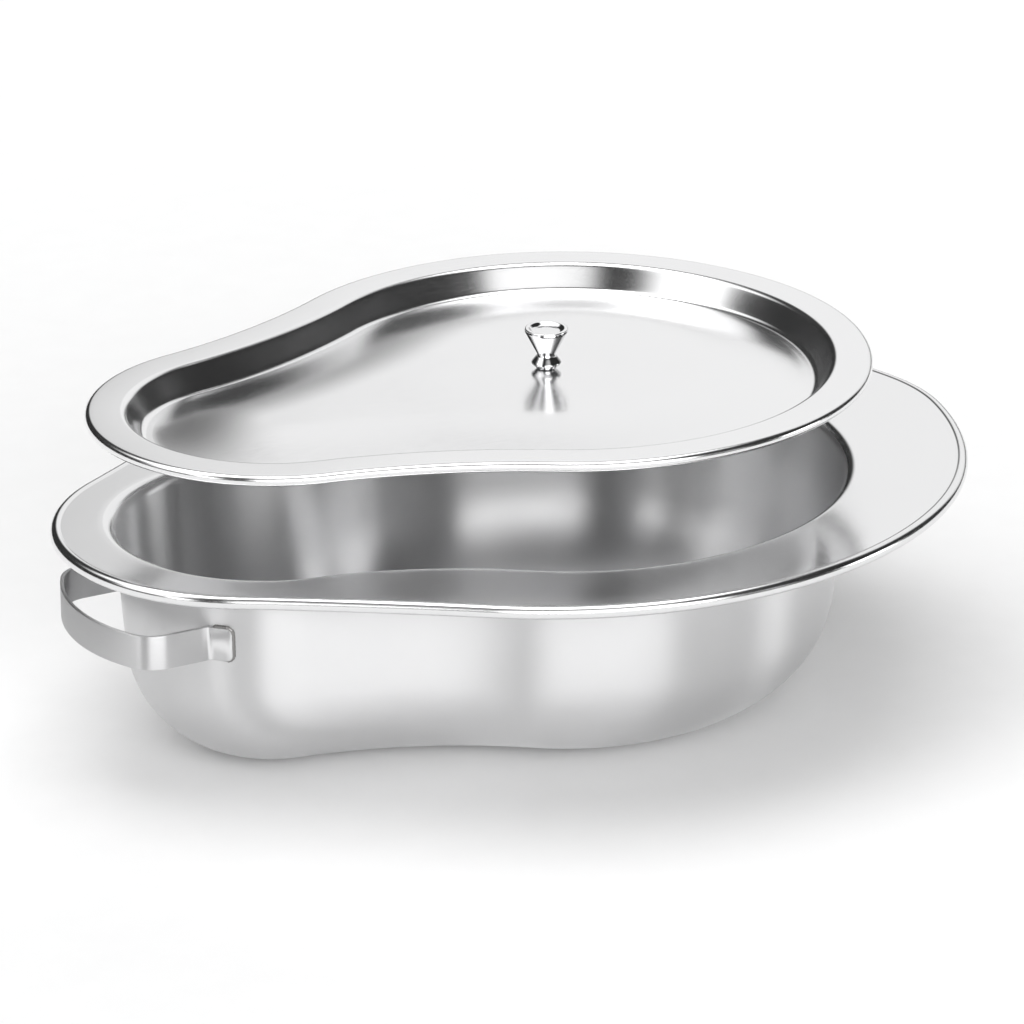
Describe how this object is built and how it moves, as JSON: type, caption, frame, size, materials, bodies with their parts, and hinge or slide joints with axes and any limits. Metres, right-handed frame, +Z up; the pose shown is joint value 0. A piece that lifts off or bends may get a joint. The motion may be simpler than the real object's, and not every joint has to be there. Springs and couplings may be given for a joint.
{
  "type": "bedpan",
  "caption": "Pear-shaped steel bedpan with a broad flat rim, a strap handle at the narrow end and a lift-off lid with a knob, for patients confined to bed.",
  "frame": {"origin": "on the table under the middle of the pan's overall length and width", "axes": "+X towards the wide seat end, -X towards the strap handle, +Z up"},
  "size_m": [0.36, 0.2834, 0.1403],
  "materials": {
    "pan_steel": "polished stainless steel sheet, bright inside and out",
    "handle_steel": "stainless strip, lightly brushed along its length",
    "weld_steel": "ground and polished weld, slightly duller than the sheet",
    "lid_steel": "polished stainless steel sheet",
    "knob_steel": "turned and polished stainless steel with fine lathe lines",
    "fastener_steel": "plain stainless screw and washer"
  },
  "bodies": {
    "pan": {"pan_shell": "pan_steel", "handle_strap": "handle_steel", "handle_welds": "weld_steel"},
    "lid": {"lid_shell": "lid_steel", "knob": "knob_steel", "knob_ferrule": "knob_steel", "knob_washer": "fastener_steel", "knob_screw": "fastener_steel"}
  },
  "joints": [
    {"name": "lid_lift", "type": "slide", "parent": "pan", "child": "lid", "axis": [0, 0, 1], "range_m": [-0.0381, 0.08]}
  ]
}
